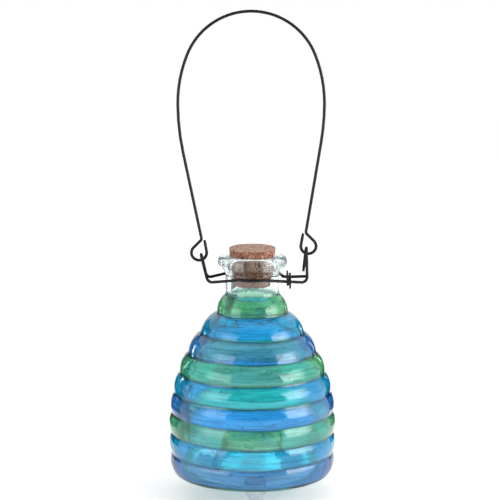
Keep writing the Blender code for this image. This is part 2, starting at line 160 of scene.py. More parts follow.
# %% World
DARK_DIRECTION = (0.05, -0.96, 0.27)
DARK_SIDE = 0.10          # how bright the dark room is, beside the white cove
DARK_FROM, DARK_FULLY = 0.35, 0.75  # the dot product over which the cove turns into the room
GLASS_BOUNCES = 24
MIRROR_BOUNCES = 10

world = bpy.data.worlds.new("studio")
world.use_nodes = True
scene = bpy.context.scene
scene.world = world
tree = world.node_tree
direction = add_node(tree, "ShaderNodeTexCoord")
toward_dark = add_node(tree, "ShaderNodeVectorMath", {
    0: direction.outputs["Generated"], 1: DARK_DIRECTION,
}, operation="DOT_PRODUCT")
cove = add_node(tree, "ShaderNodeValToRGB", {0: toward_dark.outputs["Value"]})
cove.color_ramp.interpolation = "EASE"
for element, position, grey in zip(cove.color_ramp.elements, (DARK_FROM, DARK_FULLY), (1.0, DARK_SIDE)):
    element.position = position
    element.color = (grey, grey, grey, 1.0)
ray = add_node(tree, "ShaderNodeLightPath")
seen = add_node(tree, "ShaderNodeMix", {
    "Factor": ray.outputs["Is Camera Ray"], 6: cove, 7: (1.0, 1.0, 1.0, 1.0),
}, data_type="RGBA")
feed_node(tree, tree.nodes["Background"], {"Color": seen.outputs[2]})

scene.view_settings.view_transform = "Standard"
scene.cycles.max_bounces = GLASS_BOUNCES
scene.cycles.transmission_bounces = GLASS_BOUNCES
scene.cycles.glossy_bounces = MIRROR_BOUNCES
print("world ready")

# %% [markdown]
# The floor is a plain pale sheet, like the opal top of a studio's light table, so it glows a little by
# itself and keeps the bottle from throwing a hard shadow. It fills the view in every direction.

# %% Floor
FLOOR_HALF = 12.0
FLOOR_GLOW = 0.29

floor_mesh = bpy.data.meshes.new("floor")
corners = [(-1, -1), (1, -1), (1, 1), (-1, 1)]
floor_mesh.from_pydata([(x * FLOOR_HALF, y * FLOOR_HALF, 0.0) for x, y in corners], [], [(0, 1, 2, 3)])
floor = bpy.data.objects.new("floor", floor_mesh)
bpy.context.scene.collection.objects.link(floor)


def stage_material(name, colour, roughness, specular=0.5, glow=0.0):
    """A plain matt material for a piece of the stage."""
    material = bpy.data.materials.new(name)
    material.use_nodes = True
    shader = material.node_tree.nodes["Principled BSDF"]
    shader.inputs["Base Color"].default_value = colour
    shader.inputs["Roughness"].default_value = roughness
    shader.inputs["Specular IOR Level"].default_value = specular
    shader.inputs["Emission Color"].default_value = (1.0, 1.0, 1.0, 1.0)
    shader.inputs["Emission Strength"].default_value = glow
    return material


floor_mesh.materials.append(stage_material("pale_paper", (0.93, 0.93, 0.93, 1.0), 0.9, 0.1, FLOOR_GLOW))
print("floor", 2 * FLOOR_HALF, "m wide")

# %% [markdown]
# Everything turned on this object (bottle, feet, cork) is described by half of its cross-section. These
# helpers draw such an outline from straight runs and arcs. An arc is given by its two ends and its bulge,
# which is how far it stands off the straight line between them, as a glass mould is drawn.


# %% Outline helpers
def arc(start, end, bulge, steps, first=0.0, last=1.0):
    """Points of a circular arc from start to end; first and last trim it to a share of the way."""
    start = Vector(start)
    end = Vector(end)
    chord = end - start
    radius = (chord.length ** 2 / 4.0 + bulge ** 2) / (2.0 * abs(bulge))
    left = Vector((-chord.y, chord.x)).normalized() * math.copysign(1.0, bulge)
    centre = (start + end) / 2.0 + left * (abs(bulge) - radius)
    half_turn = math.asin(chord.length / 2.0 / radius)
    turn = -2.0 * half_turn * math.copysign(1.0, bulge)
    spoke = start - centre
    points = []
    for step in range(steps + 1):
        share = first + (last - first) * step / steps
        points.append(centre + Matrix.Rotation(turn * share, 2) @ spoke)
    return points


def line(start, end, steps):
    """Evenly spaced points of a straight run, the start left out."""
    start = Vector(start)
    end = Vector(end)
    return [start.lerp(end, step / steps) for step in range(1, steps + 1)]


def outline_mesh(name, points, closed):
    """A chain of edges in the XZ plane: X is the radius, Z the height."""
    mesh = bpy.data.meshes.new(name)
    edges = [(index, index + 1) for index in range(len(points) - 1)]
    if closed:
        edges.append((len(points) - 1, 0))
    mesh.from_pydata([(point[0], 0.0, point[1]) for point in points], edges, [])
    return mesh


print("helpers ready")

# %% [markdown]
# One node tree turns any of these outlines into a solid, like a lathe or a glassblower's mould. It sweeps
# the outline round a small circle with Curve to Mesh, which is exact and keeps the outline's own points,
# where the Screw modifier would leave a seam to close. A soft noise then pushes the surface in a little
# here and there, because nothing blown or cut by hand is perfectly round.

# %% Lathe tree
SWEEP_RADIUS = 0.01  # the circle that carries the outline; its size cancels out
WELD_DISTANCE = 1e-6 # closes the poles, where the outline meets the axis
NOISE_TOP = 0.72     # the noise hardly ever passes this, so the wave goes into the solid


def tree_with_inputs(name, sizes):
    """A geometry node tree with a geometry input, named number inputs and a geometry output."""
    tree = bpy.data.node_groups.new(name, "GeometryNodeTree")
    tree.interface.new_socket("Geometry", in_out="INPUT", socket_type="NodeSocketGeometry")
    for size_name, kind in sizes:
        tree.interface.new_socket(size_name, in_out="INPUT", socket_type=kind)
    tree.interface.new_socket("Geometry", in_out="OUTPUT", socket_type="NodeSocketGeometry")
    return tree, tree.nodes.new("NodeGroupInput"), tree.nodes.new("NodeGroupOutput")


def wavy_skin(tree, given, geometry, noise_top):
    """Push a surface in by a noise, shade it smooth and give it its material.

    The tree's inputs set the noise's scale and depth. Where the noise reaches noise_top, the
    surface stays where it is.
    """
    noise = add_node(tree, "ShaderNodeTexNoise", {"Scale": given.outputs["Wave Scale"]})
    below_top = add_node(tree, "ShaderNodeMath", {0: noise, 1: noise_top}, operation="SUBTRACT")
    waviness = given.outputs["Waviness"]
    depth = add_node(tree, "ShaderNodeMath", {0: below_top, 1: waviness}, operation="MULTIPLY")
    normal = add_node(tree, "GeometryNodeInputNormal")
    push = add_node(tree, "ShaderNodeVectorMath", {0: normal, "Scale": depth}, operation="SCALE")
    wave = add_node(tree, "GeometryNodeSetPosition", {"Geometry": geometry, "Offset": push})
    smooth = add_node(tree, "GeometryNodeSetShadeSmooth", {0: wave})
    realize = add_node(tree, "GeometryNodeRealizeInstances", {0: smooth})
    return add_node(tree, "GeometryNodeSetMaterial", {
        "Geometry": realize, "Material": given.outputs["Material"],
    })


def lathe_tree():
    """Outline in the XZ plane in, turned solid out."""
    tree, given, result = tree_with_inputs("lathe", [
        ("Segments", "NodeSocketInt"),
        ("Waviness", "NodeSocketFloat"),
        ("Wave Scale", "NodeSocketFloat"),
        ("Material", "NodeSocketMaterial"),
    ])
    to_curve = add_node(tree, "GeometryNodeMeshToCurve", {0: given})
    place = add_node(tree, "GeometryNodeInputPosition")
    split = add_node(tree, "ShaderNodeSeparateXYZ", {0: place})
    shift = add_node(tree, "ShaderNodeMath", {0: split.outputs["X"], 1: SWEEP_RADIUS}, operation="SUBTRACT")
    turn_over = add_node(tree, "ShaderNodeMath", {0: split.outputs["Z"], 1: -1.0}, operation="MULTIPLY")
    flat = add_node(tree, "ShaderNodeCombineXYZ", {"X": shift, "Y": turn_over})
    lay_flat = add_node(tree, "GeometryNodeSetPosition", {"Geometry": to_curve, "Position": flat})
    circle = add_node(tree, "GeometryNodeCurvePrimitiveCircle", {
        "Resolution": given.outputs["Segments"], "Radius": SWEEP_RADIUS,
    })
    upright = add_node(tree, "GeometryNodeSetCurveNormal", {0: circle}, mode="Z_UP")
    sweep = add_node(tree, "GeometryNodeCurveToMesh", {"Curve": upright, "Profile Curve": lay_flat})
    weld = add_node(tree, "GeometryNodeMergeByDistance", {0: sweep, "Distance": WELD_DISTANCE})
    feed_node(tree, result, {0: wavy_skin(tree, given, weld, NOISE_TOP)})
    return tree


def run_tree(name, mesh, tree, values):
    """Put a mesh through a tree and return the result as a plain object with no modifier."""
    source = bpy.data.objects.new(name + "_source", mesh)
    bpy.context.scene.collection.objects.link(source)
    modifier = source.modifiers.new(name, "NODES")
    modifier.node_group = tree
    for item in tree.interface.items_tree:
        if item.in_out == "INPUT" and item.name in values:
            modifier[item.identifier] = values[item.name]
    evaluated = source.evaluated_get(bpy.context.evaluated_depsgraph_get())
    made = bpy.data.meshes.new_from_object(evaluated)
    made.name = name
    piece = bpy.data.objects.new(name, made)
    bpy.context.scene.collection.objects.link(piece)
    bpy.data.objects.remove(source, do_unlink=True)
    low = [min(vertex.co[axis] for vertex in made.vertices) for axis in range(3)]
    high = [max(vertex.co[axis] for vertex in made.vertices) for axis in range(3)]
    size = " x ".join(f"{(h - l) * 1000:.1f}" for l, h in zip(low, high))
    print(f"{name}: {len(made.polygons)} faces, {size} mm")
    return piece


LATHE = lathe_tree()

# %% [markdown]
# The bottle is blown into a mould with nine ribs, so its outside is a chain of arcs between grooves that
# lie on a dome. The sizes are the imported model's own: the underside and the mouth come from its box. The
# groove bottoms are rounded a little, because glass never holds a knife-sharp corner.

# %% Bottle sizes
bottle_low, bottle_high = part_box("bottle")
BASE_HEIGHT = bottle_low[2]
MOUTH = bottle_high[2]
RIB_PITCH = 0.01468
RIB_COUNT = 9
RIBS_BELOW_BELLY = 2
BELLY_RADIUS = 0.0595
BASE_TAPER = 0.0016
BASE_CORNER_HEIGHT = 0.0018
BASE_CORNER_WIDTH = 0.0030
BASE_CORNER_BULGE = 0.0006
NECK_RADIUS = 0.0196
NECK_HEIGHT = 0.0278
SHOULDER_STEP = 0.0064
DOME_POWER = 2.40
RIB_BULGE = 0.122
GROOVE_SHARE = 0.03       # share of each rib's arc that the rounded groove takes
RIB_STEPS = 14
GLASS_WALL = 0.003
BORE_RADIUS = NECK_RADIUS - GLASS_WALL

LOWEST_GROOVE = BASE_HEIGHT + BASE_CORNER_HEIGHT
WIDEST_GROOVE = LOWEST_GROOVE + RIBS_BELOW_BELLY * RIB_PITCH
TOP_GROOVE = LOWEST_GROOVE + (RIB_COUNT - 1) * RIB_PITCH
NECK_FOOT = MOUTH - NECK_HEIGHT


def groove_radius(height):
    """Radius of the body at a groove: a dome above the belly, a slight taper below it."""
    if height < WIDEST_GROOVE:
        share = (WIDEST_GROOVE - height) / (WIDEST_GROOVE - LOWEST_GROOVE)
        return BELLY_RADIUS - BASE_TAPER * share ** 2
    share = (height - WIDEST_GROOVE) / (TOP_GROOVE - WIDEST_GROOVE)
    return BELLY_RADIUS - (BELLY_RADIUS - NECK_RADIUS - SHOULDER_STEP) * share ** DOME_POWER


grooves = [(groove_radius(LOWEST_GROOVE + index * RIB_PITCH), LOWEST_GROOVE + index * RIB_PITCH)
           for index in range(RIB_COUNT)]
print("grooves", [round(radius * 1000, 1) for radius, height in grooves], "mm")

# %% [markdown]
# Studio glass keeps its edges readable with black flags, strips of dark velvet that stand close to the
# object. One stands behind it and is seen through the glass only, where the curved wall bends it into a
# dark line just inside the left edge. It follows the outline, because the line must run down all the ribs.
# The other two stand left and right behind it and are seen in reflections only, where they deepen the
# colour of the edges.

# %% Black flags
FLAG_DISTANCE = 0.11      # from the bottle's axis back to the flag that is seen through the glass
FLAG_DROP = 0.019         # how far a line of sight sinks on its way there
FLAG_NEAR = (0.85, 0.010)  # its inner edge: share of the body's radius, and so much further out
FLAG_FAR = (0.95, 0.050)   # its outer edge
FLAG_LOWEST = 0.001       # it stops just above the floor
SIDE_FLAG_DISTANCE = 0.24
SIDE_FLAG_HEIGHT = 0.20

VELVET = stage_material("black_velvet", (0.004, 0.004, 0.005, 1.0), 1.0)


def black_flag(name, rows, in_reflections):
    """A flag from rows of (left point, right point); it shows either in reflections or through glass."""
    points = [point for row in rows for point in row]
    faces = [(2 * row, 2 * row + 1, 2 * row + 3, 2 * row + 2) for row in range(len(rows) - 1)]
    mesh = bpy.data.meshes.new(name)
    mesh.from_pydata(points, [], faces)
    mesh.materials.append(VELVET)
    flag = bpy.data.objects.new(name, mesh)
    bpy.context.scene.collection.objects.link(flag)
    flag.visible_camera = False
    flag.visible_diffuse = False
    flag.visible_shadow = False
    flag.visible_glossy = in_reflections
    flag.visible_transmission = not in_reflections


def side_flag_rows(azimuth, width):
    """Foot and top of an upright flag that faces the bottle; azimuth 0 is at the camera."""
    turn = math.radians(azimuth)
    centre = Vector((math.sin(turn), -math.cos(turn), 0.0)) * SIDE_FLAG_DISTANCE
    half = Vector((math.cos(turn), math.sin(turn), 0.0)) * width / 2.0
    rise = Vector((0.0, 0.0, SIDE_FLAG_HEIGHT))
    return [(centre - half, centre + half), (centre - half + rise, centre + half + rise)]


body_rows = [(NECK_RADIUS, MOUTH), (NECK_RADIUS, NECK_FOOT)] + grooves[::-1]
seen_through = []
for radius, height in body_rows:
    row = [(-(radius * share + outward), FLAG_DISTANCE, max(FLAG_LOWEST, height - FLAG_DROP))
           for share, outward in (FLAG_NEAR, FLAG_FAR)]
    seen_through.append(row)
black_flag("flag_behind", seen_through, in_reflections=False)
black_flag("flag_left", side_flag_rows(azimuth=-128.0, width=0.17), in_reflections=True)
black_flag("flag_right", side_flag_rows(azimuth=136.0, width=0.11), in_reflections=True)

# %% [markdown]
# The lip is a thick rolled ring. It is widest a little below its flat top and tapers down to the neck
# through a hollow curve. The outline goes down the outside first and comes back up the inside.

# %% Outside of the bottle
LIP_STEP = 0.0057         # from the neck out to the lip's widest line
LIP_TOP_STEP = 0.0024     # from the neck out to the edge of its flat top
LIP_RADIUS = NECK_RADIUS + LIP_STEP
LIP_TOP_RADIUS = NECK_RADIUS + LIP_TOP_STEP
LIP_WIDEST_DROP = 0.0045
LIP_TOP_BULGE = 0.0011
LIP_HEIGHT = 0.0127
LIP_UNDER_INSET = 0.0013
LIP_UNDER_DROP = 0.0032
LIP_UNDER_BULGE = 0.0004
MOUTH_ROUNDING = 0.0008
QUARTER_BULGE = 1.0 - math.cos(math.pi / 4.0)

widest = (LIP_RADIUS, MOUTH - LIP_WIDEST_DROP)
under_lip = (LIP_RADIUS - LIP_UNDER_INSET, MOUTH - LIP_WIDEST_DROP - LIP_UNDER_DROP)
neck_top = (NECK_RADIUS, MOUTH - LIP_HEIGHT)
neck_foot = (NECK_RADIUS, NECK_FOOT)

neck_outline = arc((BORE_RADIUS, MOUTH - MOUTH_ROUNDING), (BORE_RADIUS + MOUTH_ROUNDING, MOUTH),
                   MOUTH_ROUNDING * QUARTER_BULGE, 6)
neck_outline += line((BORE_RADIUS + MOUTH_ROUNDING, MOUTH), (LIP_TOP_RADIUS, MOUTH), 5)
neck_outline += arc((LIP_TOP_RADIUS, MOUTH), widest, LIP_TOP_BULGE, 10)[1:]
neck_outline += arc(widest, under_lip, LIP_UNDER_BULGE, 6)[1:]
neck_outline += arc(under_lip, neck_top, -LIP_UNDER_BULGE, 6)[1:]
neck_outline += line(neck_top, neck_foot, 10)[:-1]

rib_outline = []
upper = neck_foot
for lower in grooves[::-1]:
    bulge = math.dist(upper, lower) * RIB_BULGE
    rib_outline += arc(upper, lower, bulge, RIB_STEPS, GROOVE_SHARE, 1.0 - GROOVE_SHARE)
    upper = lower
underside_edge = (grooves[0][0] - BASE_CORNER_WIDTH, BASE_HEIGHT)
rib_outline += arc(grooves[0], underside_edge, BASE_CORNER_BULGE, 8)[1:]
print("outside:", len(neck_outline) + len(rib_outline), "points")

# %% [markdown]
# The underside rises into a trumpet-shaped funnel, where the wasps crawl in, and leaves a trough round it
# for the bait. The inner wall follows the ribs with a little less swell, as blown glass does, which makes
# the glass thicker in the middle of each rib.

# %% Funnel and inside of the bottle
THROAT_RADIUS = 0.0197
FUNNEL_FOOT_RADIUS = 0.0292
FUNNEL_HEIGHT = 0.0242
FUNNEL_FLARE_HEIGHT = 0.020
FUNNEL_FLARE_BULGE = 0.0013
FUNNEL_WALL = 0.0028
TROUGH_CORNER_BULGE = 0.0008
INNER_SHOULDER_BULGE = 0.001
INNER_RIB_BULGE = 0.10
SLOPE_STEP = 1e-4         # height over which the dome's slope is measured

flare_foot = (FUNNEL_FOOT_RADIUS, BASE_HEIGHT)
flare_top = (THROAT_RADIUS, BASE_HEIGHT + FUNNEL_FLARE_HEIGHT)
rim = BASE_HEIGHT + FUNNEL_HEIGHT
rim_inner = (THROAT_RADIUS, rim - FUNNEL_WALL / 2.0)
rim_outer = (THROAT_RADIUS + FUNNEL_WALL, rim - FUNNEL_WALL / 2.0)
trough_flare = (flare_top[0] + FUNNEL_WALL, flare_top[1] + FUNNEL_WALL / 2.0)
floor_inner = (FUNNEL_FOOT_RADIUS + FUNNEL_WALL, BASE_HEIGHT + GLASS_WALL)
floor_outer = (underside_edge[0], BASE_HEIGHT + GLASS_WALL)

funnel_outline = line(underside_edge, flare_foot, 10)
funnel_outline += arc(flare_foot, flare_top, FUNNEL_FLARE_BULGE, 14)[1:]
funnel_outline += line(flare_top, rim_inner, 6)
funnel_outline += arc(rim_inner, rim_outer, FUNNEL_WALL / 2.0, 8)[1:]
funnel_outline += line(rim_outer, trough_flare, 6)
funnel_outline += arc(trough_flare, floor_inner, -FUNNEL_FLARE_BULGE, 14)[1:]
funnel_outline += line(floor_inner, floor_outer, 8)

inner_wall = []
for radius, height in grooves[1:]:
    slope = (groove_radius(height + SLOPE_STEP) - radius) / SLOPE_STEP
    inward = Vector((-1.0, slope)).normalized() * GLASS_WALL
    inner_wall.append((radius + inward.x, height + inward.y))
wall_foot = (grooves[0][0] - GLASS_WALL, LOWEST_GROOVE + GLASS_WALL)
inside_outline = arc(floor_outer, wall_foot, -TROUGH_CORNER_BULGE, 6)[1:]
lower = wall_foot
for upper in inner_wall:
    inside_outline += arc(lower, upper, -math.dist(lower, upper) * INNER_RIB_BULGE, RIB_STEPS)[1:]
    lower = upper
bore_foot = (BORE_RADIUS, NECK_FOOT - GLASS_WALL)
inside_outline += arc(lower, bore_foot, -INNER_SHOULDER_BULGE, 8)[1:]
inside_outline += line(bore_foot, (BORE_RADIUS, MOUTH - MOUTH_ROUNDING), 12)[:-1]
bottle_outline = neck_outline + rib_outline + funnel_outline + inside_outline
print("whole outline:", len(bottle_outline), "points")

# %% [markdown]
# The glass itself is clear, as the neck shows. The colour is a see-through lacquer brushed on the outside,
# one shade to a rib: green, azure and violet-blue, three times over. The material finds the rib from the
# height, so each band follows the shape with no image. Painted shade darkens the colour in the grooves,
# where the glass bends the light away. The lacquer is streaky along the ribs and lets most of the light
# through: the rest is scattered in its own colour.

# %% Lacquered glass
GREEN_LACQUER = (0.12, 0.60, 0.24, 1.0)
AZURE_LACQUER = (0.006, 0.50, 0.90, 1.0)
VIOLET_LACQUER = (0.05, 0.28, 0.82, 1.0)
BARE_GLASS = (0.90, 0.96, 0.955, 1.0)
THICK_GLASS = (0.80, 0.91, 0.90, 1.0)  # the rolled lip, where the glass shows its own colour
STREAK_BLUE = (0.10, 0.52, 0.86, 1.0)
SEED_DARK = (0.01, 0.05, 0.12, 1.0)  # tiny bubbles that the lacquer has filled
LACQUER_SEEN_THROUGH = 0.86   # share of the light that passes the lacquer
COLOUR_COUNT = 3
BAND_WOBBLE = 0.0009      # how far the edge of a colour strays up or down
BAND_BLEND = 0.006        # where two colours run into each other, as a share of all three bands
GLASS_IOR = 1.5


class NodeBench:
    """Adds and links shader nodes with few words, so that a material reads like a recipe."""

    def __init__(self, name):
        self.material = bpy.data.materials.new(name)
        self.material.use_nodes = True
        self.tree = self.material.node_tree
        self.shader = self.tree.nodes["Principled BSDF"]
        self.place = self.tree.nodes.new("ShaderNodeTexCoord").outputs["Object"]

    def math(self, operation, first, second=0.0):
        """One Math node."""
        return add_node(self.tree, "ShaderNodeMath", {0: first, 1: second}, operation=operation)

    def spread(self, value, low, high, new_low=0.0, new_high=1.0):
        """Map a range of values onto another one, and stop at its ends."""
        return add_node(self.tree, "ShaderNodeMapRange", {
            "Value": value, "From Min": low, "From Max": high, "To Min": new_low, "To Max": new_high,
        })

    def noise(self, scale, detail=2.0, roughness=0.5):
        """Soft noise, around one half. Three scales instead of one stretch it along the axes."""
        place = self.place
        if isinstance(scale, tuple):
            place = add_node(self.tree, "ShaderNodeMapping", {"Vector": place, "Scale": scale})
            scale = 1.0
        return add_node(self.tree, "ShaderNodeTexNoise", {
            "Vector": place, "Scale": scale, "Detail": detail, "Roughness": roughness,
        })

    def ramp(self, value, stops):
        """A colour ramp from (position, colour) stops; a colour may be one grey number."""
        node = add_node(self.tree, "ShaderNodeValToRGB", {0: value})
        ramp = node.color_ramp
        while len(ramp.elements) < len(stops):
            ramp.elements.new(1.0)
        for element, (position, colour) in zip(ramp.elements, stops):
            element.position = position
            element.color = colour if isinstance(colour, tuple) else (colour, colour, colour, 1.0)
        return node

    def mix(self, share, first, second, blend="MIX"):
        """Mix two colours."""
        feeds = {"Factor": share, 6: first, 7: second}
        return add_node(self.tree, "ShaderNodeMix", feeds, data_type="RGBA", blend_type=blend).outputs[2]

    def shade(self, colour, value, stops):
        """Multiply a colour by a ramp of greys."""
        return self.mix(1.0, colour, self.ramp(value, stops), "MULTIPLY")

    def height(self):
        """Height above the ground."""
        return add_node(self.tree, "ShaderNodeSeparateXYZ", {0: self.place}).outputs["Z"]

    def surface(self, feeds):
        """Feed inputs of the shader itself."""
        feed_node(self.tree, self.shader, feeds)

    def bump(self, height, strength, distance):
        """Small relief from a height, put on the shader."""
        feeds = {"Height": height, "Strength": strength, "Distance": distance}
        self.surface({"Normal": add_node(self.tree, "ShaderNodeBump", feeds)})


def lacquered_glass():
    """Clear glass with the three lacquer colours on its outer ribs."""
    bench = NodeBench("lacquered_glass")
    height = bench.height()
    wobble = bench.spread(bench.noise(28.0), 0.2, 0.8, -BAND_WOBBLE, BAND_WOBBLE)
    below_neck = bench.math("SUBTRACT", TOP_GROOVE + RIB_PITCH, bench.math("ADD", height, wobble))
    rib = bench.math("DIVIDE", below_neck, RIB_PITCH)
    band = bench.math("FRACT", bench.math("DIVIDE", rib, float(COLOUR_COUNT)))
    stops = []
    for index, lacquer in enumerate((GREEN_LACQUER, AZURE_LACQUER, VIOLET_LACQUER)):
        stops.append((index / COLOUR_COUNT + (BAND_BLEND if index else 0.0), lacquer))
        stops.append(((index + 1) / COLOUR_COUNT - BAND_BLEND, lacquer))
    colour = bench.ramp(band, stops)

    # Broad pale streaks, where the brush was wetter
    streaks = bench.noise((22.0, 22.0, 420.0), 4.0, 0.6)
    streaked = bench.mix(bench.spread(streaks, 0.35, 0.75, 0.0, 0.45), colour, STREAK_BLUE)
    colour = bench.mix(bench.spread(bench.noise(34.0, 3.0), 0.45, 0.70), colour, streaked)

    # Painted shade in the grooves, fine brush marks, filled bubbles, and a deeper colour at the edges
    colour = bench.shade(colour, bench.math("FRACT", rib), [
        (0.0, 0.12), (0.05, 0.55), (0.14, 1.0), (0.84, 1.0), (0.94, 0.6), (1.0, 0.12),
    ])
    brushed = bench.noise((30.0, 30.0, 640.0), 5.0, 0.65)
    colour = bench.shade(colour, brushed, [(0.36, 0.50), (0.56, 1.0)])
    colour = bench.mix(bench.spread(bench.noise(430.0, 2.0), 0.66, 0.71), colour, SEED_DARK)
    grazing = add_node(bench.tree, "ShaderNodeLayerWeight", {"Blend": 0.35})
    colour = bench.shade(colour, grazing.outputs["Facing"], [(0.25, 1.0), (0.90, 0.30)])

    # Bare glass where there is no lacquer
    lacquered = add_node(bench.tree, "ShaderNodeAttribute", attribute_name="lacquer").outputs["Fac"]
    thick = bench.spread(height, MOUTH - LIP_HEIGHT, MOUTH - LIP_WIDEST_DROP)
    bare = bench.mix(thick, BARE_GLASS, THICK_GLASS)
    bench.surface({
        "Base Color": bench.mix(lacquered, bare, colour),
        "Transmission Weight": bench.spread(lacquered, 0.0, 1.0, 1.0, LACQUER_SEEN_THROUGH),
        "Roughness": bench.spread(lacquered, 0.0, 1.0, 0.01, 0.03),
        "IOR": GLASS_IOR,
    })
    fine_ripples = bench.math("MULTIPLY", bench.noise(260.0, 3.0), 0.3)
    bench.bump(bench.math("ADD", bench.noise(70.0, 1.0), fine_ripples), 0.55, 0.0008)
    return bench.material


GLASS_FINISH = lacquered_glass()

# %% [markdown]
# Now the outline goes through the lathe tree. The part of it that was lacquered carries a mark, a number
# on each point, which the sweep passes on to the surface and the material reads.

# %% Blown bottle
BOTTLE_SEGMENTS = 192
BRUSH_OVERLAP = 2         # points of the underside that the brush still reached

bottle_mesh = outline_mesh("bottle_outline", bottle_outline, closed=True)
lacquer = bottle_mesh.attributes.new("lacquer", "FLOAT", "POINT")
first_lacquered = len(neck_outline)
last_lacquered = first_lacquered + len(rib_outline) + BRUSH_OVERLAP
for index in range(first_lacquered, last_lacquered):
    lacquer.data[index].value = 1.0
bottle = run_tree("blown_bottle", bottle_mesh, LATHE, {
    "Segments": BOTTLE_SEGMENTS,
    "Waviness": 0.0005,
    "Wave Scale": 38.0,
    "Material": GLASS_FINISH,
})
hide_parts("bottle")
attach(bottle, "bottle")

# %% [markdown]
# The bottle stands on three solid glass pegs, pressed on while the glass was soft. Each is a short straight
# drum that rounds off to a small tip. One outline serves all three, and each mesh is moved to its place
# round the axis, so that the objects themselves stay at the origin.

# %% Glass feet
FOOT_INSET = 0.0169       # from the edge of the flat underside in to the middle of a foot
FOOT_CIRCLE = underside_edge[0] - FOOT_INSET
FOOT_TURN = 3.5           # degrees that the front foot stands to the right of the front
FOOT_RADIUS = 0.0085
FOOT_TIP_RADIUS = 0.002
FOOT_STRAIGHT = 0.0034
FOOT_BULGE = 0.00034
FOOT_SEGMENTS = 64
FOOT_NAMES = ["foot_front", "foot_rear_right", "foot_rear_left"]


def peg_glass():
    """Clear glass, a little milky and wavy where it was pressed."""
    bench = NodeBench("peg_glass")
    milk = bench.noise(260.0, 3.0)
    tint = bench.ramp(milk, [(0.35, (0.72, 0.72, 0.80, 1.0)), (0.65, (0.92, 0.91, 0.95, 1.0))])
    bench.surface({
        "Base Color": tint,
        "Roughness": bench.spread(milk, 0.3, 0.7, 0.05, 0.22),
        "Transmission Weight": 0.55,
        "IOR": GLASS_IOR,
    })
    bench.bump(bench.noise(420.0, 2.0), 0.35, 0.0004)
    return bench.material


PEG_FINISH = peg_glass()
foot_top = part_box("foot_front")[1][2]
shoulder = (FOOT_RADIUS, foot_top - FOOT_STRAIGHT)
foot_outline = [(0.0, foot_top)]
foot_outline += line((0.0, foot_top), (FOOT_RADIUS, foot_top), 8)
foot_outline += line((FOOT_RADIUS, foot_top), shoulder, 6)
foot_outline += arc(shoulder, (FOOT_TIP_RADIUS, 0.0), FOOT_BULGE, 18)[1:]
foot_outline += line((FOOT_TIP_RADIUS, 0.0), (0.0, 0.0), 4)
for index, node in enumerate(FOOT_NAMES):
    foot_mesh = outline_mesh(node + "_outline", foot_outline, closed=False)
    foot = run_tree("glass_" + node, foot_mesh, LATHE, {
        "Segments": FOOT_SEGMENTS,
        "Waviness": 0.0002,
        "Wave Scale": 180.0,
        "Material": PEG_FINISH,
    })
    angle = math.radians(-90.0 + FOOT_TURN + 360.0 * index / len(FOOT_NAMES))
    sunk = max(0.0, -min(vertex.co.z for vertex in foot.data.vertices))
    place = Vector((FOOT_CIRCLE * math.cos(angle), FOOT_CIRCLE * math.sin(angle), sunk))
    foot.data.transform(Matrix.Translation(place))
    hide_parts(node)
    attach(foot, "bottle")

# %% [markdown]
# The stopper is pressed from cork chips, so it is a cone with a crumbly skin. The outline has many short
# steps, and a fine wave from the lathe tree tears it up a little. In the material, a Voronoi pattern makes
# one chip per cell, each with its own brown, and the dark seams and pits between the chips are bumped in.
# The top is paler than the side, and the side is a little darker still where it sits in the neck.

# %% Cork
CORK_TAPER = 0.148        # growth of the radius for each unit of height
CORK_MOUTH_RADIUS = 0.0163  # radius where the cork touches the bore
CORK_EDGE = 0.0007        # rounding of both rims
CORK_SKIN = 0.0001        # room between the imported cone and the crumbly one
CORK_STEPS = 70
CORK_SEGMENTS = 180
CHIP_SCALE = 950.0        # chips for each metre
CHIP_RAGGED = 0.0022      # how far the noise shakes the edges of the chips

cork_low, cork_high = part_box("cork_stopper")


def cork_radius(height):
    """Radius of the cork's cone at a height."""
    return CORK_MOUTH_RADIUS + CORK_TAPER * (height - MOUTH) - CORK_SKIN


